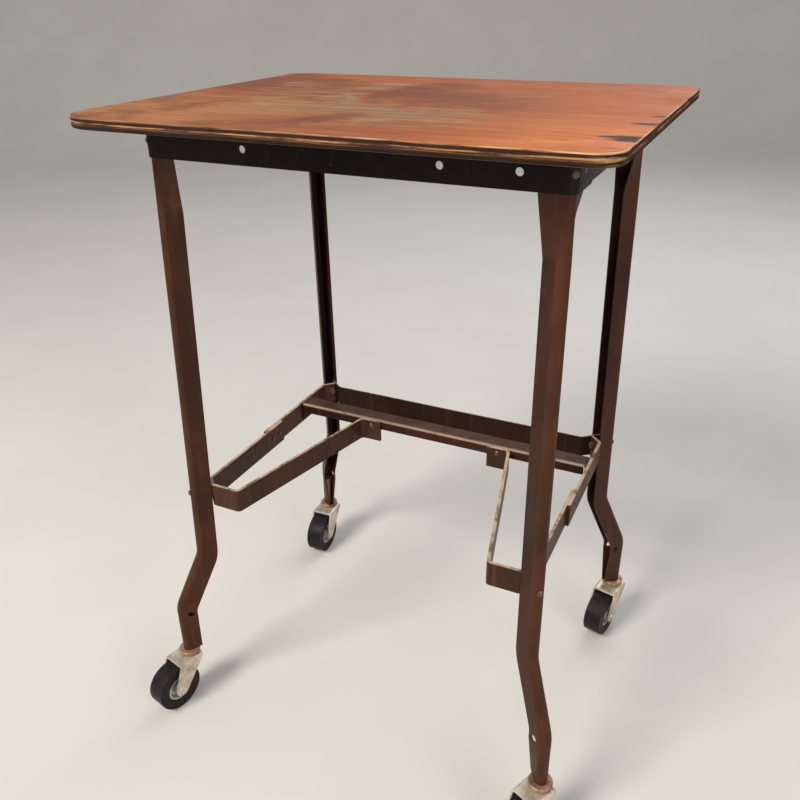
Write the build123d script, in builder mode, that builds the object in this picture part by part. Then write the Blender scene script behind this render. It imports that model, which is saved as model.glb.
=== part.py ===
"""Wheeled typing stand: a plywood top on a sheet-steel apron, four pressed channel legs,
a rear rail and a ledge between looped side braces, and a swivel caster under each leg.

Frame: +X right, +Y back, +Z up, millimetres, floor at z = 0, origin under the middle of the overall box.
"""

import os
from math import asin, cos, radians, sin, sqrt

from build123d import *

os.makedirs("parts", exist_ok=True)

# ---- driving dimensions -------------------------------------------------------------------
TABLE_X = 3.239  # the steel frame's centre; the wheels trail past it, so it sits beside and behind the origin
TABLE_Y = 18.423
BOARD_AHEAD = 8.5  # how far the top's centre lies in front of the steel frame's centre

BOARD_WIDTH = 457.2
BOARD_DEPTH = 381.0
BOARD_TOP = 660.4
BOARD_THICKNESS = 9.0
BOARD_CORNER = 22.0
BOARD_WORN_CORNER = 42.0  # the front left corner is cut rounder
BOARD_ARRIS = 0.9
SCREW_RADIUS = 1.75
SCREW_HEAD = 3.6
SCREW_HEAD_HEIGHT = 2.2
SCREW_DEPTH = 7.0

SHEET = 1.5  # every pressed sheet piece
FACE_GAP = 0.1  # between two sheet faces riveted together
LEG_GAP = 0.4  # between a leg's mouth or inner face and the bar or tab fitted to it

APRON_HALF_X = 189.9
APRON_HALF_Y = 136.3
APRON_HEIGHT = 31.4
APRON_RETURN = 44.0  # how far the front and rear aprons run back along the sides
APRON_FLANGE = 16.0
APRON_FLANGE_HALF = 150.0
SIDE_APRON_HALF = 107.3
SIDE_FLANGE_HALF = 86.0
APRON_HOLE_RADIUS = 3.175
APRON_HOLE_DROP = 18.3  # hole centres below the underside of the board
APRON_PAIR_HALF = 87.0
APRON_THIRD_X = 148.0

STRIP_HALF = 25.4  # half the width of a leg's flat blank
NOSE_RADIUS = 6.5
LEG_SPREAD = 7.0  # side angle of the open channel
HEAD_SPREAD = 45.0  # at the top the channel opens to a right angle
FOOT_SPREAD = -14.0  # the sides close in at the foot
KNEE_SHIFT = (6.0, 15.2)  # how far the nose centre has moved out at the knee
FOOT_SHIFT = (30.2, 35.7)
KNEE_Z = 196.0
ANKLE_Z = 126.0
LEG_BEND = 32.0
CHANNEL_TOP_Z = 570.0  # below this the leg is a plain channel
FOOT_CLOSE_Z = 112.0  # below this the channel closes in
FOOT_Z = 64.8
LEG_TOP_GAP = 0.3
ANKLE_HOLE_RADIUS = 3.75
ANKLE_HOLE_Z = 117.0
ANKLE_HOLE_INSET = 8.0

BAR_THICKNESS = 3.2
BAR_HEIGHT = 25.4
BRACE_TOP = 284.4
BRACE_BEND = 4.8
BRACE_BOLT_Z = 275.0
ARM_X = 180.5  # outer face of a front brace's side arm
LOOP_FRONT_Y = -134.9  # front face of a loop's front run
LOOP_FRONT_X = 137.0
LOOP_BACK_X = 92.0
LOOP_BACK_Y = 58.5
LOOP_TAB = 24.0
FRONT_ARM_END = 14.5
REAR_BAR_START = -16.5
REAR_BAR_TAIL = 16.2  # plan length of the rear bar's 45 degree end
LAP_RIVETS_Y = (-7.0, 6.5)

LEDGE_TOP = 285.0
LEDGE_Y = (62.0, 82.5)  # front and back edges
LEDGE_LIP_BOTTOM = 273.5
LEDGE_BEND = 2.5
LEDGE_END_X = 180.3
LEDGE_END_FRONT = 63.6
LEDGE_END_BOTTOM = 262.0
LEDGE_END_RIVET_Y = 69.0
LEDGE_RIVET_X = 80.0
LEDGE_RIVET_Z = 278.0

RAIL_Y = 125.0  # back face of the rail's straight run
RAIL_TAB = 26.0
TAIL_RIVET_Z = 265.5
TAIL_RIVET_RUN = 11.2
TAIL_GRIP = 4.0

BOLT_RADIUS = 2.0
BOLT_HEAD = 3.4
BOLT_HEAD_HEIGHT = 1.9
BOLT_HOLE = 2.1
NUT_ACROSS = 7.0
NUT_HEIGHT = 3.2
SPACER_RADIUS = 3.2
RIVET_RADIUS = 1.6
RIVET_HEAD = 3.0
RIVET_HEAD_HEIGHT = 1.3
RIVET_TAIL = 2.2
RIVET_TAIL_HEIGHT = 1.0
RIVET_HOLE = 1.65
CORNER_RIVET_DROP = 17.5
LEG_RIVET_DROP = 16.8
LEG_RIVET_Y = 116.5
SIDE_RIVET_Y = 99.5

WHEEL_RADIUS = 27.0
TYRE_WIDTH = 21.0
TYRE_SHOULDER = 7.0
TYRE_BORE = 15.5
HUB_RADIUS = 15.4
HUB_WIDTH = 22.4
HUB_RIM_WIDTH = 19.0
HUB_WEB_WIDTH = 7.0
HUB_RIM_INNER = 12.4
HUB_BOSS = 7.0
TRAIL = 27.0
AXLE_RADIUS = 3.1
AXLE_HEAD = 5.0
AXLE_HEAD_HEIGHT = 1.8
RUNNING_FIT = 0.07
FORK_WIDTH = 30.0
FORK_SHEET = 2.0
FORK_TOP = 59.0
FORK_BACK = 7.5
FORK_FRONT = -23.5
FORK_END_RADIUS = 8.0
FORK_CORNER = 3.5
FORK_BOSS = 11.5
STEM_RADIUS = 3.95
STEM_FIT = 0.05
STEM_TOP = 104.0
STEM_HEAD = 6.5
STEM_HEAD_BOTTOM = 53.0
STEM_HEAD_TOP = 56.7
SOCKET_RADIUS = 4.75
SOCKET_BOTTOM = 66.0
SOCKET_TOP = 106.0
RACE_RADIUS = 11.0
RACE_BORE = 6.2
RACE_TOP = 60.0
BALL_RADIUS = 1.55
BALL_CIRCLE = 8.5
BALL_COUNT = 8
BALL_Z = 61.6
CUP_RADIUS = 12.0
CUP_SHEET = 1.2
CUP_BOTTOM = 61.0
CUP_TOP = 64.6
SWIVEL = {"front_left": -13.8, "front_right": -24.0, "rear_left": 3.0, "rear_right": -13.0}

# ---- derived places -----------------------------------------------------------------------
BOARD_UNDER = BOARD_TOP - BOARD_THICKNESS
APRON_BOTTOM = BOARD_UNDER - APRON_HEIGHT
APRON_CORNER_RADIUS = NOSE_RADIUS + FACE_GAP + SHEET
CORNER = (APRON_HALF_X - APRON_CORNER_RADIUS, APRON_HALF_Y - APRON_CORNER_RADIUS)  # nose centre at the top
SIDE_APRON_X = APRON_HALF_X - SHEET - FACE_GAP
BAR_BOTTOM = BRACE_TOP - BAR_HEIGHT
BAR_MIDDLE = BRACE_TOP - BAR_HEIGHT / 2
REAR_BAR_X = ARM_X + FACE_GAP + BAR_THICKNESS
SHEET_GRIP = 2 * SHEET + FACE_GAP
MIRROR_FRONT = Plane(origin=(TABLE_X, TABLE_Y, 0), z_dir=(0, 1, 0))
MIRROR_SIDE = Plane(origin=(TABLE_X, TABLE_Y, 0), z_dir=(1, 0, 0))
APRON_SCREWS = [(x, side * (APRON_HALF_Y - 10.5)) for x in (-110, 0, 110) for side in (1, -1)]
SIDE_SCREWS = [(side * (APRON_HALF_X - 11.5), 0) for side in (1, -1)]


def at(x, y, z):
    """A point given from the table's centre line, in the part's frame."""
    return (TABLE_X + x, TABLE_Y + y, z)


def level(z):
    """Horizontal plane at height z, centred on the table."""
    return Plane(origin=at(0, 0, z))


def leg_centre(z):
    """Right rear nose centre at a height between the knee and the apron."""
    share = (APRON_BOTTOM - z) / (APRON_BOTTOM - KNEE_Z)
    return (CORNER[0] + share * KNEE_SHIFT[0], CORNER[1] + share * KNEE_SHIFT[1])


def side_length(spread):
    """Straight length of a channel's side once the nose has used its share of the blank."""
    return STRIP_HALF - NOSE_RADIUS * radians(90 - spread)


MOUTH = side_length(LEG_SPREAD) * cos(radians(LEG_SPREAD)) - NOSE_RADIUS * sin(radians(LEG_SPREAD))
FOOT_CENTRE = (CORNER[0] + FOOT_SHIFT[0], CORNER[1] + FOOT_SHIFT[1])
CORNER_FLAT = sum(leg_centre(BRACE_TOP)) - sqrt(2) * (MOUTH + LEG_GAP)  # x + y of a brace's 45 degree face
FLAT_INSET = (sum(leg_centre(BRACE_BOLT_Z)) - CORNER_FLAT) / sqrt(2)  # the same face, in from the nose centre


def diagonal_plane(centre, z, side=1, end=1):
    """Vertical plane at a leg's nose centre, with its normal pointing in towards the table's middle."""
    origin = at(side * centre[0], end * centre[1], z)
    return Plane(origin=origin, x_dir=(side, -end, 0), z_dir=(-side, -end, 0))


def side_plane(x, y, z):
    """Vertical plane facing in from the right, its origin at the given point."""
    return Plane(origin=at(x, y, z), x_dir=(0, 1, 0), z_dir=(-1, 0, 0))


def back_plane(x, y, z):
    """Vertical plane facing the back, its origin at the given point."""
    return Plane(origin=at(x, y, z), x_dir=(1, 0, 0), z_dir=(0, 1, 0))


def leg_section(centre, z, spread):
    """Channel face: nose round the centre, mouth inwards, sides opened by `spread` degrees."""
    turn = radians(spread)
    run = side_length(spread)
    radii = (NOSE_RADIUS, NOSE_RADIUS - SHEET)
    with BuildSketch(Plane(origin=at(*centre, z), x_dir=(-1, -1, 0), z_dir=(0, 0, 1))) as face:
        with BuildLine():
            for side in (1, -1):
                outer, inner = [(-radius * sin(turn), side * radius * cos(turn)) for radius in radii]
                step = (run * cos(turn), side * run * sin(turn))
                outer_end = (outer[0] + step[0], outer[1] + step[1])
                inner_end = (inner[0] + step[0], inner[1] + step[1])
                Polyline(outer, outer_end, inner_end, inner)
            for radius in radii:
                start = (-radius * sin(turn), radius * cos(turn))
                ThreePointArc(start, (-radius, 0), (start[0], -start[1]))
        make_face()
    return face.sketch


def strip_face(plane, points, radius, thickness, side):
    """Face of a bent strip seen on edge: a filleted line thickened to one side."""
    with BuildSketch(plane) as face:
        with BuildLine():
            FilletPolyline(*points, radius=radius)
            offset(amount=thickness, side=side)
        make_face()
    return face.sketch


def bore(plane, radius, depth):
    """Round hole cut from the plane's origin along its normal."""
    with BuildSketch(plane) as mouth:
        Circle(radius)
    extrude(mouth.sketch, amount=depth, mode=Mode.SUBTRACT)


def turned(points, crown):
    """Solid turned about Z: straight between the points, domed from the last one to its crown."""
    rim, base = points[-1]
    sphere = (rim**2 + (crown - base) ** 2) / (2 * (crown - base))
    half = asin(rim / abs(sphere)) / 2
    middle = (abs(sphere) * sin(half), crown - sphere + sphere * cos(half))
    with BuildPart() as body:
        with BuildSketch(Plane.XZ):
            with BuildLine():
                Polyline((0, crown), *points)
                ThreePointArc(points[-1], middle, (0, crown))
            make_face()
        revolve(axis=Axis.Z)
    return body.part


def tube(outer, inner, bottom, top):
    """Ring about Z between two heights."""
    with BuildPart() as body:
        with BuildSketch(Plane.XY.offset(bottom)):
            Circle(outer)
            Circle(inner, mode=Mode.SUBTRACT)
        extrude(amount=top - bottom)
    return body.part


def rivet(plane, grip):
    """Rivet with its domed head on the plane and its shank along the normal through the grip."""
    outline = [
        (0, grip + RIVET_TAIL_HEIGHT),
        (RIVET_TAIL, grip + RIVET_TAIL_HEIGHT),
        (RIVET_TAIL, grip),
        (RIVET_RADIUS, grip),
        (RIVET_RADIUS, 0),
        (RIVET_HEAD, 0),
    ]
    return plane.location * turned(outline, -RIVET_HEAD_HEIGHT)


def left_and_right(pieces):
    """Right-hand pieces with their left-hand mirror images."""
    return [copy for piece in pieces for copy in (piece, mirror(piece, about=MIRROR_SIDE))]


def all_corners(pieces):
    """Right rear pieces with their images at the other three corners."""
    return left_and_right([copy for piece in pieces for copy in (piece, mirror(piece, about=MIRROR_FRONT))])


def write(piece, name):
    """Label a finished piece and write its STEP file."""
    piece.label = name
    export_step(piece, f"parts/{name}.step")


def write_group(pieces, name):
    """Write several identical fasteners as separate solids of one node."""
    write(Compound(children=[solid for piece in pieces for solid in piece.solids()]), name)


# ---- top ----------------------------------------------------------------------------------
with BuildPart() as top_board:
    with BuildSketch(level(BOARD_UNDER)) as board_face:
        with Locations((0, -BOARD_AHEAD)):
            Rectangle(BOARD_WIDTH, BOARD_DEPTH)
        corners = board_face.vertices().sort_by(lambda corner: corner.X + corner.Y)
        fillet(corners[1:], BOARD_CORNER)
        fillet(board_face.vertices().sort_by(lambda corner: corner.X + corner.Y)[0], BOARD_WORN_CORNER)
    extrude(amount=BOARD_THICKNESS)
    rims = top_board.edges().group_by(Axis.Z)
    fillet(rims[0] + rims[-1], BOARD_ARRIS)
    with BuildSketch(level(BOARD_UNDER)):
        with Locations(*APRON_SCREWS, *SIDE_SCREWS):
            Circle(SCREW_RADIUS)
    extrude(amount=SCREW_DEPTH, mode=Mode.SUBTRACT)
write(top_board.part, "top_board")

SCREW_SEAT = -SHEET - FACE_GAP
board_screw = turned(
    [
        (0, SCREW_DEPTH - 0.3),
        (SCREW_RADIUS, SCREW_DEPTH - 2.5),
        (SCREW_RADIUS, SCREW_SEAT),
        (SCREW_HEAD, SCREW_SEAT),
    ],
    SCREW_SEAT - SCREW_HEAD_HEIGHT,
)
write_group([Pos(*at(x, y, BOARD_UNDER)) * board_screw for x, y in APRON_SCREWS + SIDE_SCREWS], "board_screws")

# ---- apron --------------------------------------------------------------------------------
CORNER_RIVET_Z = BOARD_UNDER - CORNER_RIVET_DROP
LEG_RIVET_Z = BOARD_UNDER - LEG_RIVET_DROP

with BuildPart() as rear_apron:
    outline = [
        (APRON_HALF_X, APRON_HALF_Y - APRON_RETURN),
        (APRON_HALF_X, APRON_HALF_Y),
        (-APRON_HALF_X, APRON_HALF_Y),
        (-APRON_HALF_X, APRON_HALF_Y - APRON_RETURN),
    ]
    extrude(strip_face(level(APRON_BOTTOM), outline, APRON_CORNER_RADIUS, SHEET, Side.LEFT), amount=APRON_HEIGHT)
    with BuildSketch(level(BOARD_UNDER)):
        with Locations((0, APRON_HALF_Y - SHEET / 2 - APRON_FLANGE / 2)):
            Rectangle(2 * APRON_FLANGE_HALF, APRON_FLANGE)
        with Locations(*[place for place in APRON_SCREWS if place[1] > 0]):
            Circle(SCREW_RADIUS + FACE_GAP, mode=Mode.SUBTRACT)
    extrude(amount=-SHEET)
    for x in (APRON_PAIR_HALF, -APRON_PAIR_HALF, -APRON_THIRD_X):
        bore(back_plane(x, APRON_HALF_Y - 4, BOARD_UNDER - APRON_HOLE_DROP), APRON_HOLE_RADIUS, 6)
    for side in (1, -1):
        bore(diagonal_plane(CORNER, CORNER_RIVET_Z, side).offset(-12), RIVET_HOLE, 10)
    for y in (LEG_RIVET_Y, SIDE_RIVET_Y):
        bore(side_plane(APRON_HALF_X + 2, y, LEG_RIVET_Z), RIVET_HOLE, 2 * APRON_HALF_X + 4)
write(rear_apron.part, "rear_apron")
turn_round = Pos(TABLE_X, TABLE_Y, 0) * Rot(0, 0, 180) * Pos(-TABLE_X, -TABLE_Y, 0)
write(turn_round * rear_apron.part, "front_apron")

with BuildPart() as side_apron:
    with BuildSketch(level(APRON_BOTTOM)):
        with Locations((SIDE_APRON_X - SHEET / 2, 0)):
            Rectangle(SHEET, 2 * SIDE_APRON_HALF)
    extrude(amount=APRON_HEIGHT)
    with BuildSketch(level(BOARD_UNDER)):
        with Locations((SIDE_APRON_X - APRON_FLANGE / 2, 0)):
            Rectangle(APRON_FLANGE, 2 * SIDE_FLANGE_HALF)
        with Locations(SIDE_SCREWS[0]):
            Circle(SCREW_RADIUS + FACE_GAP, mode=Mode.SUBTRACT)
    extrude(amount=-SHEET)
    for y in (SIDE_RIVET_Y, -SIDE_RIVET_Y):
        bore(side_plane(APRON_HALF_X, y, LEG_RIVET_Z), RIVET_HOLE, 6)
write(side_apron.part, "side_apron_right")
write(mirror(side_apron.part, about=MIRROR_SIDE), "side_apron_left")

# ---- legs ---------------------------------------------------------------------------------
TAIL_NORMAL = radians(135 - LEG_SPREAD)  # plan direction in which the right rear leg's rear side faces
SIDE_FACING = (cos(TAIL_NORMAL), sin(TAIL_NORMAL))
TAIL_CENTRE = leg_centre(TAIL_RIVET_Z)
TAIL_RIVET = Plane(
    origin=at(
        TAIL_CENTRE[0] + NOSE_RADIUS * SIDE_FACING[0] - TAIL_RIVET_RUN * SIDE_FACING[1],
        TAIL_CENTRE[1] + NOSE_RADIUS * SIDE_FACING[1] + TAIL_RIVET_RUN * SIDE_FACING[0],
        TAIL_RIVET_Z,
    ),
    x_dir=(0, 0, 1),
    z_dir=(-SIDE_FACING[0], -SIDE_FACING[1], 0),
)


def bend_leg():
    """Add the whole right rear leg, without its holes, to the current part."""
    line = [
        at(*FOOT_CENTRE, FOOT_CLOSE_Z),
        at(*FOOT_CENTRE, ANKLE_Z),
        at(*leg_centre(KNEE_Z), KNEE_Z),
        at(*leg_centre(CHANNEL_TOP_Z), CHANNEL_TOP_Z),
    ]
    channel_end = leg_section(FOOT_CENTRE, FOOT_CLOSE_Z, LEG_SPREAD)
    with BuildLine() as path:
        FilletPolyline(*line, radius=LEG_BEND)
    run = sweep(channel_end, path=path.line)
    head = leg_section(CORNER, APRON_BOTTOM, HEAD_SPREAD)
    loft([run.faces().sort_by(Axis.Z)[-1], head.face()], ruled=True)
    extrude(head, amount=APRON_HEIGHT - LEG_TOP_GAP)
    loft([leg_section(FOOT_CENTRE, FOOT_Z, FOOT_SPREAD).face(), channel_end.face()], ruled=True)


def drill_leg():
    """Holes every leg has: ankle cross hole, brace bolt, corner rivet and side rivet."""
    inset = ANKLE_HOLE_INSET / sqrt(2)
    ankle = at(FOOT_CENTRE[0] - inset, FOOT_CENTRE[1] - inset, ANKLE_HOLE_Z)
    bore(Plane(origin=ankle, z_dir=(1, -1, 0)).offset(-20), ANKLE_HOLE_RADIUS, 40)
    bore(diagonal_plane(leg_centre(BRACE_BOLT_Z), BRACE_BOLT_Z).offset(-12), BOLT_HOLE, 10)
    bore(diagonal_plane(CORNER, CORNER_RIVET_Z).offset(-12), RIVET_HOLE, 10)
    bore(side_plane(APRON_HALF_X, LEG_RIVET_Y, LEG_RIVET_Z), RIVET_HOLE, 5)


with BuildPart() as front_leg:
    bend_leg()
    drill_leg()
right_front_leg = mirror(front_leg.part, about=MIRROR_FRONT)
write(right_front_leg, "leg_front_right")
write(mirror(right_front_leg, about=MIRROR_SIDE), "leg_front_left")

with BuildPart() as rear_leg:
    add(front_leg.part)
    bore(TAIL_RIVET.offset(-2), RIVET_HOLE, 5)
write(rear_leg.part, "leg_rear_right")
write(mirror(rear_leg.part, about=MIRROR_SIDE), "leg_rear_left")

# ---- rear rail and ledge ------------------------------------------------------------------
# The rail's tabs lie inside the rear legs' rear sides; its height matches the bars'.
RAIL_CENTRE = leg_centre(BRACE_TOP)
TAB_FACE = RAIL_CENTRE[0] * SIDE_FACING[0] + RAIL_CENTRE[1] * SIDE_FACING[1] + NOSE_RADIUS - SHEET - LEG_GAP
RAIL_TAB_X = (TAB_FACE - RAIL_Y * SIDE_FACING[1]) / SIDE_FACING[0]
TAB_END = (RAIL_TAB_X + RAIL_TAB * SIDE_FACING[1], RAIL_Y - RAIL_TAB * SIDE_FACING[0])

with BuildPart() as rear_rail:
    strip = [(-TAB_END[0], TAB_END[1]), (-RAIL_TAB_X, RAIL_Y), (RAIL_TAB_X, RAIL_Y), TAB_END]
    extrude(strip_face(level(BAR_BOTTOM), strip, BRACE_BEND, SHEET, Side.RIGHT), amount=BAR_HEIGHT)
    bore(TAIL_RIVET.offset(-2), RIVET_HOLE, 6)
    bore(
        Plane(
            origin=at(TABLE_X - TAIL_RIVET.origin.X, TAIL_RIVET.origin.Y - TABLE_Y, TAIL_RIVET_Z),
            z_dir=(SIDE_FACING[0], -SIDE_FACING[1], 0),
        ).offset(-2),
        RIVET_HOLE,
        6,
    )
write(rear_rail.part, "rear_rail")


def ledge_half():
    """Add the right half of the ledge: top, front lip and the end flange turned down beside the bar."""
    across = Plane(origin=at(0, 0, 0), x_dir=(0, 1, 0), z_dir=(1, 0, 0))
    profile = [(LEDGE_Y[0], LEDGE_LIP_BOTTOM), (LEDGE_Y[0], LEDGE_TOP), (LEDGE_Y[1], LEDGE_TOP)]
    reach = LEDGE_END_X - LEDGE_BEND
    extrude(strip_face(across, profile, LEDGE_BEND, SHEET, Side.RIGHT), amount=reach)
    end = [(reach - SHEET, LEDGE_TOP), (LEDGE_END_X, LEDGE_TOP), (LEDGE_END_X, LEDGE_END_BOTTOM)]
    along = Plane(origin=at(0, LEDGE_Y[1], 0), x_dir=(1, 0, 0), z_dir=(0, -1, 0))
    extrude(strip_face(along, end, LEDGE_BEND, SHEET, Side.RIGHT), amount=LEDGE_Y[1] - LEDGE_END_FRONT)
    bore(side_plane(LEDGE_END_X + 1, LEDGE_END_RIVET_Y, BAR_MIDDLE), RIVET_HOLE, 4)
    bore(back_plane(LEDGE_RIVET_X, LEDGE_Y[0] - 1, LEDGE_RIVET_Z), RIVET_HOLE, 4)


with BuildPart() as ledge_right:
    ledge_half()
with BuildPart() as ledge_rail:
    add(ledge_right.part)
    mirror(about=MIRROR_SIDE)
write(ledge_rail.part, "ledge_rail")

# ---- side braces --------------------------------------------------------------------------
with BuildPart() as front_brace:
    loop = [
        (ARM_X, FRONT_ARM_END),
        (ARM_X, ARM_X - CORNER_FLAT),
        (CORNER_FLAT + LOOP_FRONT_Y, LOOP_FRONT_Y),
        (LOOP_FRONT_X, LOOP_FRONT_Y),
        (LOOP_BACK_X, LOOP_BACK_Y),
        (LOOP_BACK_X - LOOP_TAB, LOOP_BACK_Y),
    ]
    extrude(strip_face(level(BAR_BOTTOM), loop, BRACE_BEND, BAR_THICKNESS, Side.RIGHT), amount=BAR_HEIGHT)
    bore(diagonal_plane(leg_centre(BRACE_BOLT_Z), BRACE_BOLT_Z, end=-1), BOLT_HOLE, 24)
    bore(back_plane(LEDGE_RIVET_X, LOOP_BACK_Y - 1, LEDGE_RIVET_Z), RIVET_HOLE, 5)
    for y in LAP_RIVETS_Y:
        bore(side_plane(ARM_X + 1, y, BAR_MIDDLE), RIVET_HOLE, 5)
write(front_brace.part, "front_brace_right")
write(mirror(front_brace.part, about=MIRROR_SIDE), "front_brace_left")

with BuildPart() as rear_bar:
    tail_x = REAR_BAR_X - REAR_BAR_TAIL / sqrt(2)
    bar = [
        (REAR_BAR_X, REAR_BAR_START),
        (REAR_BAR_X, CORNER_FLAT - REAR_BAR_X),
        (tail_x, CORNER_FLAT - tail_x),
    ]
    extrude(strip_face(level(BAR_BOTTOM), bar, BRACE_BEND, BAR_THICKNESS, Side.LEFT), amount=BAR_HEIGHT)
    bore(diagonal_plane(leg_centre(BRACE_BOLT_Z), BRACE_BOLT_Z), BOLT_HOLE, 24)
    for y in (*LAP_RIVETS_Y, LEDGE_END_RIVET_Y):
        bore(side_plane(REAR_BAR_X + 1, y, BAR_MIDDLE), RIVET_HOLE, 5)
write(rear_bar.part, "rear_bar_right")
write(mirror(rear_bar.part, about=MIRROR_SIDE), "rear_bar_left")

# ---- fasteners ----------------------------------------------------------------------------
corner_rivet = rivet(diagonal_plane(CORNER, CORNER_RIVET_Z).offset(-APRON_CORNER_RADIUS), SHEET_GRIP + 0.8)
leg_rivet = rivet(side_plane(APRON_HALF_X, LEG_RIVET_Y, LEG_RIVET_Z), SHEET_GRIP)
side_rivet = rivet(side_plane(APRON_HALF_X, SIDE_RIVET_Y, LEG_RIVET_Z), SHEET_GRIP)
write_group(all_corners([corner_rivet, leg_rivet, side_rivet]), "apron_rivets")

lap_rivets = [
    rivet(side_plane(REAR_BAR_X, y, BAR_MIDDLE), 2 * BAR_THICKNESS + FACE_GAP) for y in LAP_RIVETS_Y
]
write_group(left_and_right(lap_rivets), "lap_rivets")

end_rivet = rivet(side_plane(REAR_BAR_X, LEDGE_END_RIVET_Y, BAR_MIDDLE), REAR_BAR_X - LEDGE_END_X + SHEET)
lip_rivet = rivet(
    back_plane(LEDGE_RIVET_X, LOOP_BACK_Y, LEDGE_RIVET_Z), LEDGE_Y[0] + SHEET - LOOP_BACK_Y
)
tail_rivet = rivet(TAIL_RIVET.offset(-FACE_GAP), TAIL_GRIP)
write_group(left_and_right([end_rivet, lip_rivet, tail_rivet]), "rail_rivets")

BOLT_PLANE = diagonal_plane(leg_centre(BRACE_BOLT_Z), BRACE_BOLT_Z)
BOLT_SEAT = -NOSE_RADIUS - 0.35
NUT_SEAT = FLAT_INSET + BAR_THICKNESS
bolt_outline = [
    (0, NUT_SEAT + NUT_HEIGHT + 1),
    (BOLT_RADIUS, NUT_SEAT + NUT_HEIGHT + 1),
    (BOLT_RADIUS, BOLT_SEAT),
    (BOLT_HEAD, BOLT_SEAT),
]
brace_bolt = BOLT_PLANE.location * turned(bolt_outline, BOLT_SEAT - BOLT_HEAD_HEIGHT)
write_group(all_corners([brace_bolt]), "brace_bolts")

brace_spacer = BOLT_PLANE.location * tube(SPACER_RADIUS, BOLT_HOLE, -2.8, FLAT_INSET)
write_group(all_corners([brace_spacer]), "brace_spacers")

with BuildPart() as brace_nut:
    with BuildSketch(BOLT_PLANE.offset(NUT_SEAT)):
        RegularPolygon(NUT_ACROSS / 2, 6, major_radius=False)
        Circle(BOLT_HOLE, mode=Mode.SUBTRACT)
    extrude(amount=NUT_HEIGHT)
write_group(all_corners([brace_nut.part]), "brace_nuts")

# ---- casters, built with the stem on the Z axis and the wheel trailing towards -Y ----------
with BuildPart() as fork:
    with BuildSketch(Plane.YZ):
        with Locations((-TRAIL, WHEEL_RADIUS)):
            Circle(FORK_END_RADIUS)
        with Locations(((FORK_BACK + FORK_FRONT) / 2, FORK_TOP - FORK_SHEET / 2)):
            Rectangle(FORK_BACK - FORK_FRONT, FORK_SHEET)
        make_hull()
    extrude(amount=FORK_WIDTH / 2, both=True)
    with Locations((0, -TRAIL / 2, (FORK_TOP - FORK_SHEET) / 2)):
        Box(FORK_WIDTH - 2 * FORK_SHEET, 3 * TRAIL, FORK_TOP - FORK_SHEET, mode=Mode.SUBTRACT)
    bends = fork.edges().filter_by(Axis.Y)
    fillet(bends.filter_by(lambda edge: edge.center().Z > FORK_TOP - 0.1), FORK_CORNER)
    inner_bends = fork.edges().filter_by(Axis.Y).filter_by(
        lambda edge: abs(edge.center().Z - FORK_TOP + FORK_SHEET) < 0.1
    )
    fillet(inner_bends, FORK_CORNER - FORK_SHEET)
    with BuildSketch(Plane.XY.offset(FORK_TOP - FORK_SHEET)):
        Circle(FORK_BOSS)
    extrude(amount=FORK_SHEET)
    bore(Plane.XY.offset(FORK_TOP - 2 * FORK_SHEET), STEM_RADIUS + STEM_FIT, 3 * FORK_SHEET)
    bore(Plane.YZ.offset(-FORK_WIDTH).shift_origin((-FORK_WIDTH, -TRAIL, WHEEL_RADIUS)), AXLE_RADIUS + 0.05, 60)

with BuildPart() as balls:
    with PolarLocations(BALL_CIRCLE, BALL_COUNT):
        with Locations((0, 0, BALL_Z)):
            Sphere(BALL_RADIUS)

AXLE_PLANE = Plane(origin=(0, -TRAIL, WHEEL_RADIUS), x_dir=(0, 1, 0), z_dir=(1, 0, 0))
HEAD_SEAT = FORK_WIDTH / 2 + FACE_GAP / 2
axle_outline = [
    (0, HEAD_SEAT + AXLE_RADIUS / 2),
    (AXLE_HEAD - 1, HEAD_SEAT + AXLE_RADIUS / 2),
    (AXLE_HEAD, HEAD_SEAT),
    (AXLE_RADIUS, HEAD_SEAT),
    (AXLE_RADIUS, -HEAD_SEAT),
    (AXLE_HEAD, -HEAD_SEAT),
]
axle = AXLE_PLANE.location * turned(axle_outline, -HEAD_SEAT - AXLE_HEAD_HEIGHT)


def wheel_ring(outline, rounded, radius):
    """Ring turned about the axle from its upper half outline of (width, radius) points, mirrored."""
    mirrored = [(-width, height) for width, height in reversed(outline)]
    with BuildPart() as body:
        with BuildSketch(Plane.XZ) as section:
            with BuildLine():
                Polyline(*outline, *mirrored, close=True)
            make_face()
            fillet(section.vertices().filter_by(lambda corner: abs(corner.Z - rounded) < 0.01), radius)
        revolve(axis=Axis.X)
    return Pos(0, -TRAIL, WHEEL_RADIUS) * body.part


half_tyre = TYRE_WIDTH / 2
tyre = wheel_ring([(half_tyre, TYRE_BORE), (half_tyre, WHEEL_RADIUS)], WHEEL_RADIUS, TYRE_SHOULDER)
hub_outline = [
    (HUB_WIDTH / 2, AXLE_RADIUS + RUNNING_FIT),
    (HUB_WIDTH / 2, HUB_BOSS),
    (HUB_WEB_WIDTH / 2, HUB_BOSS + 1),
    (HUB_WEB_WIDTH / 2, HUB_RIM_INNER),
    (HUB_RIM_WIDTH / 2, HUB_RIM_INNER + 0.6),
    (HUB_RIM_WIDTH / 2, HUB_RADIUS),
]
wheel_hub = wheel_ring(hub_outline, HUB_BOSS, 1.0)

with BuildPart() as cup:
    with BuildSketch(Plane.XY.offset(CUP_BOTTOM)):
        Circle(CUP_RADIUS)
    extrude(amount=CUP_TOP - CUP_BOTTOM)
    fillet(cup.edges().sort_by(Axis.Z)[-1], CUP_SHEET)
    with BuildSketch(Plane.XY.offset(CUP_BOTTOM)):
        Circle(CUP_RADIUS - CUP_SHEET)
    extrude(amount=CUP_TOP - CUP_BOTTOM - CUP_SHEET, mode=Mode.SUBTRACT)
    bore(Plane.XY.offset(CUP_BOTTOM), STEM_RADIUS + STEM_FIT, CUP_RADIUS)

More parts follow.
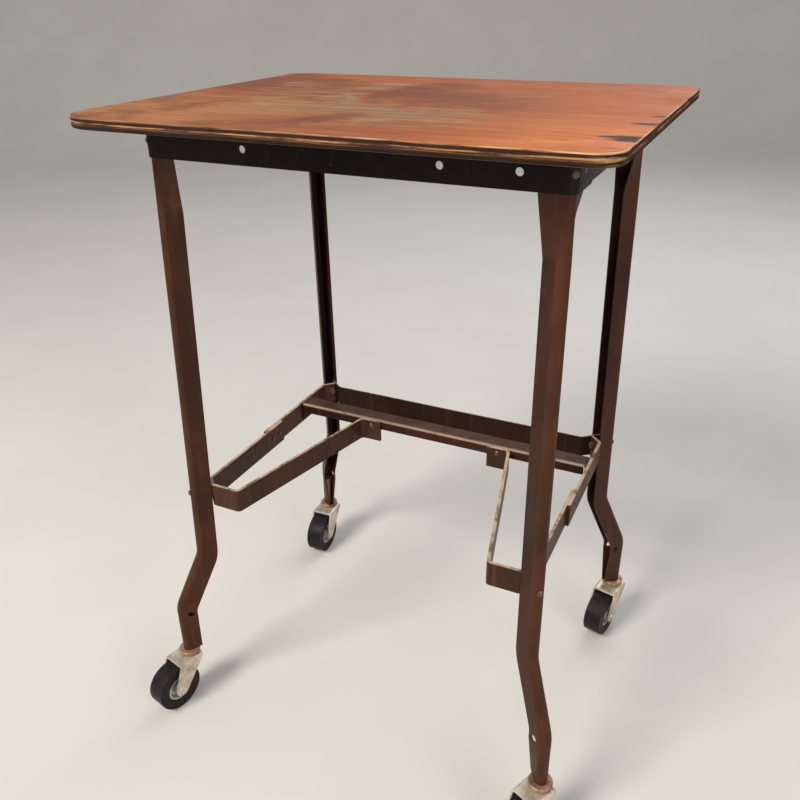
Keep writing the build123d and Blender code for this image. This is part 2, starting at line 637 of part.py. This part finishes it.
stem_outline = [
    (0, STEM_TOP),
    (STEM_RADIUS - 0.8, STEM_TOP),
    (STEM_RADIUS, STEM_TOP - 1.5),
    (STEM_RADIUS, STEM_HEAD_TOP),
    (STEM_HEAD, STEM_HEAD_TOP),
]
CASTER = {
    "socket": tube(SOCKET_RADIUS, STEM_RADIUS + STEM_FIT, SOCKET_BOTTOM, SOCKET_TOP),
    "stem": turned(stem_outline, STEM_HEAD_BOTTOM),
    "cup": cup.part,
    "fork": fork.part,
    "race": tube(RACE_RADIUS, RACE_BORE, FORK_TOP, RACE_TOP),
    "balls": balls.part,
    "axle": axle,
    "wheel_hub": wheel_hub,
    "tyre": tyre,
}

for corner, swivel in SWIVEL.items():
    across = FOOT_CENTRE[0] if corner.endswith("right") else -FOOT_CENTRE[0]
    back = FOOT_CENTRE[1] if corner.startswith("rear") else -FOOT_CENTRE[1]
    for part_name, piece in CASTER.items():
        placed = Pos(*at(across, back, 0)) * Rot(0, 0, swivel) * piece
        write(placed, f"caster_{corner}_{part_name}")
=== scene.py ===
import math

import bpy
from mathutils import Matrix, Vector


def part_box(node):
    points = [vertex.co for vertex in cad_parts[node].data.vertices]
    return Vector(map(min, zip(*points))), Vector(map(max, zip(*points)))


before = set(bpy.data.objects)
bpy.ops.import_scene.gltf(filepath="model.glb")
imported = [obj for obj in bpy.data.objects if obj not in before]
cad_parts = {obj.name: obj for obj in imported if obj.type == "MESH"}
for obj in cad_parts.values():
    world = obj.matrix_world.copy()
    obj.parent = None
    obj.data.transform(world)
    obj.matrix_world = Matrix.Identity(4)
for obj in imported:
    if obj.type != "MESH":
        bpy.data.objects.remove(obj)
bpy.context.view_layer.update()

# ---- table geometry in metres -------------------------------------------------------------
TOP_LOW, TOP_HIGH = (Vector(corner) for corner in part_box("top_board"))
CENTRE = (TOP_LOW + TOP_HIGH) / 2
TOP_Z = TOP_HIGH.z
BOARD_MM = 1000 * (TOP_HIGH.z - TOP_LOW.z)
LEDGE_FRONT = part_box("ledge_rail")[0][1]
FOOT_CLOSE = (0.126, 0.136)  # heights over which a leg's closed foot gives way to its open channel

CORNERS = ("front_left", "front_right", "rear_left", "rear_right")
LEGS = [f"leg_{corner}" for corner in CORNERS]
APRONS = ["front_apron", "rear_apron", "side_apron_left", "side_apron_right"]
BARS = ["front_brace_left", "front_brace_right", "rear_bar_left", "rear_bar_right"]
RAILS = ["rear_rail", "ledge_rail"]
FORKS = [f"caster_{corner}_fork" for corner in CORNERS]
FASTENERS = ["apron_rivets", "brace_bolts", "brace_nuts", "brace_spacers", "lap_rivets", "rail_rivets"]
BEARING_PARTS = ("race", "cup", "stem", "balls", "socket")

# ---- camera, from the middle of the top's face --------------------------------------------
CAMERA_LENS = 35.87
CAMERA_SENSOR = 36.0
CAMERA_YAW = 0.448
CAMERA_PITCH = 0.4783
CAMERA_ROLL = -0.0132
CAMERA_OFFSET = Vector((0.3170, -0.6772, 0.0888))

# ---- floor in metres ----------------------------------------------------------------------
FLOOR_NEAR = -9.0
FLOOR_FAR = 3.2
FLOOR_HALF = 9.0
FLOOR_DROP = 0.0005
WALL_BEND = 1.6
WALL_STEPS = 24
WALL_TOP = 5.0

# ---- colours, linear ----------------------------------------------------------------------
# Painted highlight colour for the enamel faces that look up.
TOP_HIGHLIGHT_COLOUR = (0.52, 0.38, 0.26)
# Painted highlight colour along the ledge's front edge.
RIM_HIGHLIGHT = (0.40, 0.28, 0.20)
ENAMEL_DUST = (0.26, 0.17, 0.125)
ENAMEL_RUST = [(0.35, (0.07, 0.022, 0.008)), (0.65, (0.20, 0.085, 0.04))]
STAIN = [(0.3, (0.17, 0.044, 0.015)), (0.5, (0.29, 0.082, 0.028)), (0.7, (0.38, 0.125, 0.048))]
STAIN_RIGHT = (0.50, 0.120, 0.014)
STAIN_BACK = (0.42, 0.115, 0.036)
STAIN_FRONT_LEFT = (0.42, 0.195, 0.078)
STAIN_DARK = (0.17, 0.055, 0.032)
STAIN_GLOW = (0.72, 0.255, 0.075)
BLEACHED = [(0.3, (0.19, 0.110, 0.060)), (0.62, (0.37, 0.265, 0.165))]
SCUFFED = (0.50, 0.33, 0.21)
GROWTH_SHADE = (0.45, 0.34, 0.28)
PORE = (0.06, 0.022, 0.012)
SPLIT = (0.010, 0.004, 0.003)
FLECK = (0.12, 0.036, 0.020)
PLIES = [
    (0.0, (0.38, 0.165, 0.070)),
    (0.10, (0.24, 0.10, 0.045)),
    (0.16, (0.022, 0.012, 0.008)),
    (0.36, (0.040, 0.020, 0.013)),
    (0.41, (0.52, 0.25, 0.11)),
    (0.50, (0.40, 0.16, 0.065)),
    (0.54, (0.030, 0.015, 0.010)),
    (0.63, (0.20, 0.09, 0.04)),
    (0.70, (0.020, 0.011, 0.008)),
    (1.0, (0.009, 0.006, 0.005)),
]
PLY_DIRT = (0.028, 0.014, 0.010)
# Pale worn arris colour, which also paints a highlight.
ARRIS_WEAR_AND_HIGHLIGHT = (0.72, 0.50, 0.30)
# Painted highlight colour for the front right corner of the board's edge.
CORNER_HIGHLIGHT = (0.55, 0.40, 0.19)
RAW_WOOD = [(0.3, (0.12, 0.065, 0.036)), (0.7, (0.24, 0.145, 0.085))]
PLATE_RUST = [(0.3, (0.10, 0.040, 0.018)), (0.7, (0.27, 0.135, 0.070))]
TYRE_BLACK = [(0.3, (0.007, 0.005, 0.006)), (0.55, (0.012, 0.009, 0.010)), (0.75, (0.030, 0.022, 0.023))]
TYRE_DUST = (0.17, 0.145, 0.13)
FLOOR_PAINT = [(0.35, (0.60, 0.585, 0.56)), (0.65, (0.63, 0.615, 0.59))]

# ---- wear on the top, in metres from its middle -------------------------------------------
WORN_HALF_X = 0.19  # half sizes of the oval that holds the bleached patches
WORN_HALF_Y = 0.16
SPLIT_END_X = 0.224  # where the split marks reach their full width
# each mark's middle y, left end x and gain in half width
SPLIT_MARKS = (
    (-0.026, 0.214, 0.0035),
    (-0.066, 0.203, 0.0045),
    (-0.128, 0.196, 0.0075),
    (-0.138, 0.203, 0.005),
)


# ---- camera, light and floor --------------------------------------------------------------
def place_camera():
    """Camera in front and to the right of the top, turned left and looking down."""
    data = bpy.data.cameras.new("camera")
    data.lens = CAMERA_LENS
    data.sensor_width = CAMERA_SENSOR
    camera = bpy.data.objects.new("camera", data)
    bpy.context.collection.objects.link(camera)
    yaw = Matrix.Rotation(CAMERA_YAW, 4, "Z")
    tilt = Matrix.Rotation(math.pi / 2 - CAMERA_PITCH, 4, "X")
    roll = Matrix.Rotation(CAMERA_ROLL, 4, "Z")
    place = Vector((CENTRE.x, CENTRE.y, TOP_Z)) + CAMERA_OFFSET
    camera.matrix_world = Matrix.Translation(place) @ yaw @ tilt @ roll
    bpy.context.scene.camera = camera


def area_light(name, place, aim, size, power, colour):
    data = bpy.data.lights.new(name, "AREA")
    data.shape = "DISK"
    data.size = size
    data.energy = power
    data.color = colour
    lamp = bpy.data.objects.new(name, data)
    lamp.location = place
    lamp.rotation_euler = (Vector(aim) - Vector(place)).to_track_quat("-Z", "Y").to_euler()
    bpy.context.collection.objects.link(lamp)


def light_scene():
    """Large warm key and side lamps in front, a cooler lamp behind, and a soft grey room."""
    area_light("key", (-0.9, -1.9, 2.3), (0, 0, 0.35), size=1.1, power=78, colour=(1.0, 0.94, 0.86))
    area_light("side", (2.0, -1.2, 1.2), (0, 0, 0.3), size=1.4, power=16, colour=(1.0, 0.93, 0.86))
    area_light("back", (0.3, 2.1, 2.2), (0, 0, 0.5), size=1.6, power=26, colour=(0.95, 0.97, 1.0))
    world = bpy.data.worlds.new("studio")
    world.use_nodes = True
    world.node_tree.nodes["Background"].inputs["Color"].default_value = (0.86, 0.85, 0.83, 1)
    world.node_tree.nodes["Background"].inputs["Strength"].default_value = 0.5
    bpy.context.scene.world = world
    bpy.context.scene.view_settings.view_transform = "Standard"
    bpy.context.scene.view_settings.look = "None"


def lay_floor():
    """Pale floor that curves up into a plain wall behind the part, square to the camera."""
    profile = [(FLOOR_NEAR, 0.0), (FLOOR_FAR, 0.0)]
    for step in range(1, WALL_STEPS + 1):
        turn = math.pi / 2 * step / WALL_STEPS
        profile.append((FLOOR_FAR + WALL_BEND * math.sin(turn), WALL_BEND * (1 - math.cos(turn))))
    profile.append((FLOOR_FAR + WALL_BEND, WALL_TOP))
    points = [(side * FLOOR_HALF, y, z - FLOOR_DROP) for y, z in profile for side in (-1, 1)]
    faces = [(2 * k, 2 * k + 1, 2 * k + 3, 2 * k + 2) for k in range(len(profile) - 1)]
    mesh = bpy.data.meshes.new("floor")
    mesh.from_pydata(points, [], faces)
    mesh.shade_smooth()
    floor = bpy.data.objects.new("floor", mesh)
    floor.rotation_euler = (0, 0, CAMERA_YAW)
    bpy.context.collection.objects.link(floor)
    tree, shader = new_material("floor_paint")
    tone = ramp(tree, noise(tree, where(tree), 3.0, 4, 0.6), FLOOR_PAINT)
    connect(tree, shader, Base_Color=tone)
    shader.inputs["Roughness"].default_value = 0.85
    mesh.materials.append(bpy.data.materials["floor_paint"])


# ---- shader building blocks ---------------------------------------------------------------
def new_material(name):
    """Fresh material; returns its tree and its Principled node."""
    material = bpy.data.materials.new(name)
    material.use_nodes = True
    return material.node_tree, material.node_tree.nodes["Principled BSDF"]


def feed(tree, socket, value):
    """Link another node's output to an input, or set the input to a plain value."""
    if isinstance(value, bpy.types.NodeSocket):
        tree.links.new(value, socket)
    else:
        socket.default_value = value


def node(tree, kind, inputs=(), **settings):
    """New node with settings, and inputs given as (socket, value or link) pairs."""
    made = tree.nodes.new(kind)
    for key, value in settings.items():
        setattr(made, key, value)
    for key, value in inputs:
        feed(tree, made.inputs[key], value)
    return made


def where(tree, scale=(1, 1, 1), shift=(0, 0, 0)):
    """Position in the CAD frame, in metres, stretched and shifted."""
    coordinates = node(tree, "ShaderNodeTexCoord").outputs["Object"]
    inputs = [("Vector", coordinates), ("Scale", scale), ("Location", shift)]
    return node(tree, "ShaderNodeMapping", inputs).outputs["Vector"]


def from_centre(tree):
    """Position from the middle of the top in plan, and from the floor in height."""
    return where(tree, shift=(-CENTRE.x, -CENTRE.y, 0))


def noise(tree, vector, scale, detail=4.0, rough=0.55, twist=0.0):
    inputs = [("Vector", vector), ("Scale", scale), ("Detail", detail)]
    inputs += [("Roughness", rough), ("Distortion", twist)]
    return node(tree, "ShaderNodeTexNoise", inputs).outputs["Fac"]


def ramp(tree, value, stops):
    """Colour ramp through (place, colour) stops."""
    made = node(tree, "ShaderNodeValToRGB", [("Fac", value)])
    band = made.color_ramp
    while len(band.elements) < len(stops):
        band.elements.new(0.5)
    for element, (place, colour) in zip(band.elements, stops):
        element.position = place
        element.color = (*colour, 1)
    return made.outputs["Color"]


def opaque(colour):
    """A plain colour with its alpha; a link stays as it is."""
    return (*colour, 1) if isinstance(colour, tuple) else colour


def mix(tree, factor, low, high, blend="MIX"):
    """Blend of two colours."""
    inputs = [(0, factor), (6, opaque(low)), (7, opaque(high))]
    return node(tree, "ShaderNodeMix", inputs, data_type="RGBA", blend_type=blend).outputs[2]


def blend_number(tree, factor, low, high):
    """Blend of two numbers."""
    return node(tree, "ShaderNodeMix", [(0, factor), (2, low), (3, high)], data_type="FLOAT").outputs[0]


def calc(tree, kind, first, second=0.0, clamp=False):
    made = node(tree, "ShaderNodeMath", [(0, first), (1, second)], operation=kind, use_clamp=clamp)
    return made.outputs[0]


def plus(tree, first, second):
    return calc(tree, "ADD", first, second)


def times(tree, *values):
    """Product of all the values."""
    product = values[0]
    for value in values[1:]:
        product = calc(tree, "MULTIPLY", product, value)
    return product


def between(tree, value, low, high, out_low=0.0, out_high=1.0):
    """Smooth step of a value from out_low to out_high."""
    inputs = [("Value", value), ("From Min", low), ("From Max", high)]
    inputs += [("To Min", out_low), ("To Max", out_high)]
    return node(tree, "ShaderNodeMapRange", inputs, interpolation_type="SMOOTHSTEP").outputs["Result"]


def parts(tree, vector):
    """X, Y and Z of a vector."""
    made = node(tree, "ShaderNodeSeparateXYZ", [("Vector", vector)])
    return made.outputs["X"], made.outputs["Y"], made.outputs["Z"]


def facing(tree):
    """X, Y and Z of the surface normal."""
    return parts(tree, node(tree, "ShaderNodeTexCoord").outputs["Normal"])


def bump(tree, shader, height, strength, distance, under=None):
    """Surface relief, laid over an earlier one if given."""
    inputs = [("Height", height), ("Strength", strength), ("Distance", distance)]
    if under is not None:
        inputs.append(("Normal", under))
    made = node(tree, "ShaderNodeBump", inputs).outputs["Normal"]
    connect(tree, shader, Normal=made)
    return made


def connect(tree, shader, **values):
    for name, value in values.items():
        feed(tree, shader.inputs[name.replace("_", " ")], value)


# ---- enamelled steel ----------------------------------------------------------------------
def enamel_coat(tree, base, shift, cloud, grain):
    """Mottled colour, rubbed lighter in upright streaks and in specks."""
    darker = tuple(0.45 * part for part in base)
    lighter = (1.5 * base[0] + 0.004, 1.4 * base[1] + 0.002, 1.35 * base[2] + 0.001)
    rubbed = (2.1 * base[0] + 0.01, 1.9 * base[1] + 0.006, 1.8 * base[2] + 0.004)
    streak = noise(tree, where(tree, (60, 60, 5), shift), 2.2, 4, 0.6)
    colour = ramp(tree, cloud, [(0.28, darker), (0.5, base), (0.74, lighter)])
    colour = mix(tree, between(tree, streak, 0.52, 0.74, 0, 0.5), colour, rubbed)
    return mix(tree, between(tree, grain, 0.60, 0.72, 0, 0.35), colour, rubbed)


def inner_shade_mask(tree):
    """1 above the foot on faces turned towards the middle of the table, 0 elsewhere: where shade is painted
    in the leg channels.
    """
    x, y, z = parts(tree, from_centre(tree))
    across, back, _ = facing(tree)
    outward = plus(tree, times(tree, x, across), times(tree, y, back))
    return times(tree, between(tree, outward, 0.02, -0.04), between(tree, z, *FOOT_CLOSE))


def rim_highlight_mask(tree, front, up, chip_map):
    """1 where a painted highlight runs along an upper front edge at y = front, broken up by the chip noise.
    """
    y = parts(tree, where(tree))[1]
    near = between(tree, y, front + 0.0045, front + 0.001)
    return times(tree, near, between(tree, up, 0.1, 0.5), between(tree, chip_map, 0.30, 0.50, 0.25, 0.8))


def enamel(
    name, base, shift, dust=0.15, chips=0.5, gloss=0.42, shine=0.2, top_highlight=0.0, inner_shade=None, lit_rim=None
):
    """Old baked enamel: mottled, dusty on top and chipped to rust.

    It can also paint a broken highlight on the faces that look up, paint shade on the faces turned inwards
    above the foot, and paint a highlight along an upper front edge.
    """
    tree, shader = new_material(name)
    place = where(tree, shift=shift)
    up = facing(tree)[2]
    cloud = noise(tree, place, 11, 5, 0.62, 0.4)
    grain = noise(tree, place, 260, 3, 0.6)
    chip_map = noise(tree, place, 70, 6, 0.72, 0.2)
    chip_area = between(tree, noise(tree, place, 14, 3, 0.5), 0.45, 0.7)
    chip = times(tree, between(tree, chip_map, 0.66 - 0.04 * chips, 0.69), chip_area)
    colour = enamel_coat(tree, base, shift, cloud, grain)
    colour = mix(tree, chip, colour, ramp(tree, noise(tree, place, 150, 4, 0.6), ENAMEL_RUST))
    film = times(tree, between(tree, up, 0.3, 0.95), between(tree, cloud, 0.25, 0.6, 0.4, 1.0))
    colour = mix(tree, times(tree, film, dust), colour, ENAMEL_DUST)
    # Painted shade: faces turned inwards, above the foot, are multiplied darker.
    if inner_shade is not None:
        inner_shade_colour = mix(tree, 1.0, colour, (inner_shade, 0.9 * inner_shade, 0.85 * inner_shade), "MULTIPLY")
        colour = mix(tree, inner_shade_mask(tree), colour, inner_shade_colour)
    rough = between(tree, cloud, 0.3, 0.7, gloss - 0.06, gloss + 0.18)
    # Painted highlight: faces that look up get a broken pale tan colour.
    if top_highlight > 0:
        broken = between(tree, noise(tree, place, 38, 4, 0.7), 0.36, 0.56, 0.15, 1.0)
        edge = times(tree, between(tree, up, 0.35, 0.9), broken, top_highlight)
        colour = mix(tree, edge, colour, TOP_HIGHLIGHT_COLOUR)
        rough = blend_number(tree, edge, rough, 0.45)
    # Painted highlight along the ledge's upper front edge.
    if lit_rim is not None:
        colour = mix(tree, rim_highlight_mask(tree, lit_rim, up, chip_map), colour, RIM_HIGHLIGHT)
    rough = blend_number(tree, chip, rough, 0.85)
    connect(tree, shader, Base_Color=colour, Roughness=rough, Specular_IOR_Level=shine)
    dimple = bump(tree, shader, grain, 0.12, 0.0004)
    bump(tree, shader, calc(tree, "SUBTRACT", cloud, chip), 0.35, 0.0009, dimple)


# ---- plywood top --------------------------------------------------------------------------
def stained(tree, x, y, blot):
    """Stain: orange on the right, redder at the back, paler front left, dark blotches on the left."""
    figure = noise(tree, where(tree, (1.6, 16, 4)), 2.4, 4, 0.6, 1.2)
    colour = ramp(tree, figure, STAIN)
    colour = mix(tree, times(tree, between(tree, x, 0.03, 0.20), 0.75), colour, STAIN_RIGHT)
    far = times(tree, between(tree, y, 0.04, 0.14), between(tree, blot, 0.35, 0.5, 0.3, 0.75))
    colour = mix(tree, far, colour, STAIN_BACK)
    front_left = times(tree, between(tree, x, 0.04, -0.2), between(tree, y, 0.10, -0.17))
    colour = mix(tree, times(tree, front_left, 0.8), colour, STAIN_FRONT_LEFT)
    blotch = times(tree, between(tree, blot, 0.50, 0.36), between(tree, x, 0.16, -0.02, 0.1, 0.8))
    return mix(tree, blotch, colour, STAIN_DARK)


def worn_veneer(tree, colour, x, y, blot, fine):
    """Bleached patches, thickest in the middle, then pale scuffs and a warm front right corner."""
    smear = noise(tree, where(tree, (5, 11, 5), (0.4, 0.9, 0)), 1.7, 5, 0.65, 0.4)
    across = calc(tree, "POWER", calc(tree, "DIVIDE", x, WORN_HALF_X), 2.0)
    along = calc(tree, "POWER", calc(tree, "DIVIDE", y, WORN_HALF_Y), 2.0)
    middle = between(tree, calc(tree, "SQRT", plus(tree, across, along)), 1.15, 0.25)
    patch = plus(tree, times(tree, blot, 0.6), times(tree, smear, 0.4))
    worn = calc(tree, "MULTIPLY", between(tree, patch, 0.45, 0.58), plus(tree, middle, 0.12), clamp=True)
    colour = mix(tree, times(tree, worn, 0.72), colour, ramp(tree, fine, BLEACHED))
    colour = mix(tree, times(tree, between(tree, smear, 0.58, 0.72), 0.35), colour, SCUFFED)
    corner = times(tree, between(tree, x, 0.08, 0.20), between(tree, y, -0.02, -0.15))
    glow = times(tree, corner, between(tree, smear, 0.35, 0.6, 0.25, 0.7))
    return mix(tree, glow, colour, STAIN_GLOW)


def wood_lines(tree, colour, fine, pores):
    """Darker growth lines and pores."""
    deep = mix(tree, 1.0, colour, GROWTH_SHADE, "MULTIPLY")
    colour = mix(tree, between(tree, fine, 0.55, 0.3, 0, 0.5), colour, deep)
    return mix(tree, between(tree, pores, 0.42, 0.3, 0, 0.55), colour, PORE)


def split_marks(tree, colour, x, y):
    """Black ragged wedges that widen towards the right edge."""
    ragged = times(tree, noise(tree, where(tree, (45, 200, 30)), 1.0, 5, 0.75), 0.016)
    for mark_y, start, half in SPLIT_MARKS:
        offset = plus(tree, calc(tree, "ABSOLUTE", calc(tree, "SUBTRACT", y, mark_y)), ragged)
        widening = times(tree, between(tree, x, start, SPLIT_END_X), half)
        streak = between(tree, calc(tree, "SUBTRACT", offset, widening), 0.0098, 0.0072)
        streak = times(tree, streak, between(tree, x, start, start + 0.006))
        colour = mix(tree, times(tree, streak, 0.97), colour, SPLIT)
    return colour


def ply_edge(tree, colour, x, y, z, side, up, along):
    """Plies round the edge by depth below the top, a pale worn upper arris with a painted highlight, and a
    painted highlight at the front right corner.
    """
    depth = times(tree, calc(tree, "SUBTRACT", TOP_Z, z), 1000.0)
    wobble = noise(tree, where(tree, (14, 14, 160)), 1.4, 4, 0.6)
    wavy = plus(tree, depth, between(tree, wobble, 0.3, 0.7, -0.35, 0.35))
    plies = ramp(tree, calc(tree, "DIVIDE", wavy, BOARD_MM), PLIES)
    plies = mix(tree, between(tree, along, 0.42, 0.58, 0.92, 0.0), plies, PLY_DIRT)
    colour = mix(tree, side, colour, plies)
    # The upper arris: pale worn wood with a painted highlight, stronger towards the right.
    arris = times(tree, between(tree, up, 0.995, 0.9), between(tree, depth, 1.1, 0.6))
    bright = times(tree, between(tree, wobble, 0.38, 0.62, 0.05, 0.8), between(tree, x, -0.10, 0.2, 0.2, 1.0))
    colour = mix(tree, times(tree, arris, bright), colour, ARRIS_WEAR_AND_HIGHLIGHT)
    # Painted highlight on the side faces at the front right corner.
    corner = times(tree, between(tree, x, 0.206, 0.224), between(tree, y, -0.160, -0.182))
    glint = times(tree, corner, side, between(tree, along, 0.44, 0.58, 0.0, 0.6))
    return mix(tree, glint, colour, CORNER_HIGHLIGHT)


def board_finish():
    """Stained plywood: worn top veneer with its grain along X, visible plies, raw underside."""
    tree, shader = new_material("board_wood_finish")
    place = from_centre(tree)
    x, y, z = parts(tree, place)
    up = facing(tree)[2]
    side = between(tree, up, 0.86, 0.6)
    under = between(tree, up, -0.5, -0.8)
    fine = noise(tree, where(tree, (3, 150, 40)), 3.0, 6, 0.65, 0.2)
    pores = noise(tree, where(tree, (9, 620, 40)), 2.0, 3, 0.6)
    blot = noise(tree, place, 7.5, 5, 0.62, 0.5)
    along = noise(tree, where(tree, (22, 22, 420)), 1.0, 6, 0.72)
    colour = stained(tree, x, y, blot)
    colour = worn_veneer(tree, colour, x, y, blot, fine)
    colour = wood_lines(tree, colour, fine, pores)
    colour = split_marks(tree, colour, x, y)
    colour = ply_edge(tree, colour, x, y, z, side, up, along)
    colour = mix(tree, under, colour, ramp(tree, fine, RAW_WOOD))
    fleck = between(tree, noise(tree, where(tree, (14, 260, 40)), 3.0, 4, 0.7), 0.47, 0.36, 0, 0.6)
    colour = mix(tree, times(tree, fleck, between(tree, up, 0.9, 0.99)), colour, FLECK)
    rough = between(tree, blot, 0.35, 0.65, 0.46, 0.68)
    rough = blend_number(tree, side, rough, 0.8)
    rough = blend_number(tree, under, rough, 0.85)
    connect(tree, shader, Base_Color=colour, Roughness=rough, Specular_IOR_Level=0.12)
    relief = bump(tree, shader, pores, 0.25, 0.0003)
    relief = bump(tree, shader, fine, 0.30, 0.0006, relief)
    bump(tree, shader, times(tree, along, side), 0.5, 0.0012, relief)


# ---- casters and screws -------------------------------------------------------------------
def zinc(name, base, rusty, shift=(0, 0, 0)):
    """Dull zinc plate with white bloom and rust."""
    tree, shader = new_material(name)
    place = where(tree, shift=shift)
    cloud = noise(tree, place, 60, 5, 0.65, 0.4)
    fine = noise(tree, place, 420, 3, 0.6)
    spots = noise(tree, where(tree, shift=(0.3, 0.1, 0.7)), 95, 6, 0.7, 0.3)
    shade = tuple(0.6 * part for part in base)
    bloom = tuple(min(1, 1.2 * part) for part in base)
    colour = ramp(tree, cloud, [(0.3, shade), (0.55, base), (0.75, bloom)])
    rust = times(tree, between(tree, spots, 0.60 - 0.16 * rusty, 0.72 - 0.12 * rusty), 0.9)
    colour = mix(tree, rust, colour, ramp(tree, fine, PLATE_RUST))
    rough = blend_number(tree, rust, between(tree, cloud, 0.3, 0.7, 0.36, 0.58), 0.9)
    metal = between(tree, rust, 0.2, 0.8, 0.6, 0.1)
    connect(tree, shader, Base_Color=colour, Roughness=rough, Metallic=metal)
    relief = bump(tree, shader, fine, 0.12, 0.0003)
    bump(tree, shader, spots, 0.25, 0.0006, relief)


def rubber():
    """Black rubber tyre, mottled and specked with dust."""
    tree, shader = new_material("tyre_rubber_finish")
    place = where(tree)
    cloud = noise(tree, place, 45, 5, 0.6, 0.3)
    fine = noise(tree, place, 500, 3, 0.7)
    colour = ramp(tree, cloud, TYRE_BLACK)
    colour = mix(tree, between(tree, fine, 0.60, 0.75, 0, 0.22), colour, TYRE_DUST)
    rough = between(tree, cloud, 0.3, 0.7, 0.40, 0.66)
    connect(tree, shader, Base_Color=colour, Roughness=rough, Specular_IOR_Level=0.2)
    relief = bump(tree, shader, fine, 0.15, 0.0003)
    bump(tree, shader, cloud, 0.2, 0.0008, relief)


# ---- putting the finishes on --------------------------------------------------------------
def make_materials():
    # The legs' last factor darkens their inward faces as painted shade in the channels.
    enamel("leg_enamel", (0.052, 0.0165, 0.0068), (0, 0, 0), dust=0.10, chips=0.6, inner_shade=0.22)
    enamel("apron_enamel", (0.0095, 0.0046, 0.0034), (0.7, 0.2, 0.4), dust=0.08, chips=0.4, shine=0.12)
    enamel("bar_enamel", (0.052, 0.0185, 0.0095), (0.1, 0.8, 0.3), chips=1.2, gloss=0.36, top_highlight=0.9)
    # The rear rail's darker base is the frame's brown enamel with painted shade from under the top.
    enamel(
        "rail_enamel_shaded", (0.021, 0.0085, 0.0052), (0.5, 0.5, 0.9),
        dust=0.05, chips=0.8, shine=0.07, top_highlight=0.6,
    )
    enamel(
        "ledge_enamel", (0.030, 0.012, 0.0075), (0.2, 0.6, 0.1),
        dust=0.08, chips=0.9, shine=0.08, top_highlight=0.05, lit_rim=LEDGE_FRONT,
    )
    enamel("rivet_enamel", (0.060, 0.036, 0.026), (0.9, 0.3, 0.1), dust=0.4, chips=2.0, gloss=0.3, shine=0.6)
    board_finish()
    zinc("fork_zinc", (0.66, 0.58, 0.48), 0.25)
    zinc("race_zinc", (0.40, 0.28, 0.19), 1.0, (0.4, 0.4, 0))
    zinc("hub_steel_finish", (0.56, 0.54, 0.50), 0.1, (0.2, 0.7, 0))
    zinc("screw_steel", (0.34, 0.32, 0.29), 0.6, (0.1, 0.2, 0.9))
    rubber()


def dress(names, material):
    """Give nodes one material."""
    for name in names:
        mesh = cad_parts[name].data
        mesh.materials.clear()
        mesh.materials.append(bpy.data.materials[material])


def soften(names, width):
    """Small rounded edges on sharp-cut metal."""
    for name in names:
        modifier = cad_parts[name].modifiers.new("soft_edges", "BEVEL")
        modifier.width = width
        modifier.segments = 2
        modifier.limit_method = "ANGLE"
        modifier.angle_limit = math.radians(40)


def finish_surfaces():
    dress(["top_board"], "board_wood_finish")
    dress(LEGS, "leg_enamel")
    dress(APRONS, "apron_enamel")
    dress(BARS, "bar_enamel")
    dress(["rear_rail"], "rail_enamel_shaded")
    dress(["ledge_rail"], "ledge_enamel")
    dress(FASTENERS, "rivet_enamel")
    dress(["board_screws"], "screw_steel")
    for corner in CORNERS:
        dress([f"caster_{corner}_fork", f"caster_{corner}_axle"], "fork_zinc")
        dress([f"caster_{corner}_{name}" for name in BEARING_PARTS], "race_zinc")
        dress([f"caster_{corner}_wheel_hub"], "hub_steel_finish")
        dress([f"caster_{corner}_tyre"], "tyre_rubber_finish")
    soften(LEGS + APRONS + RAILS, 0.0003)
    soften(BARS, 0.0005)
    soften(FORKS, 0.0004)


place_camera()
light_scene()
lay_floor()
make_materials()
finish_surfaces()
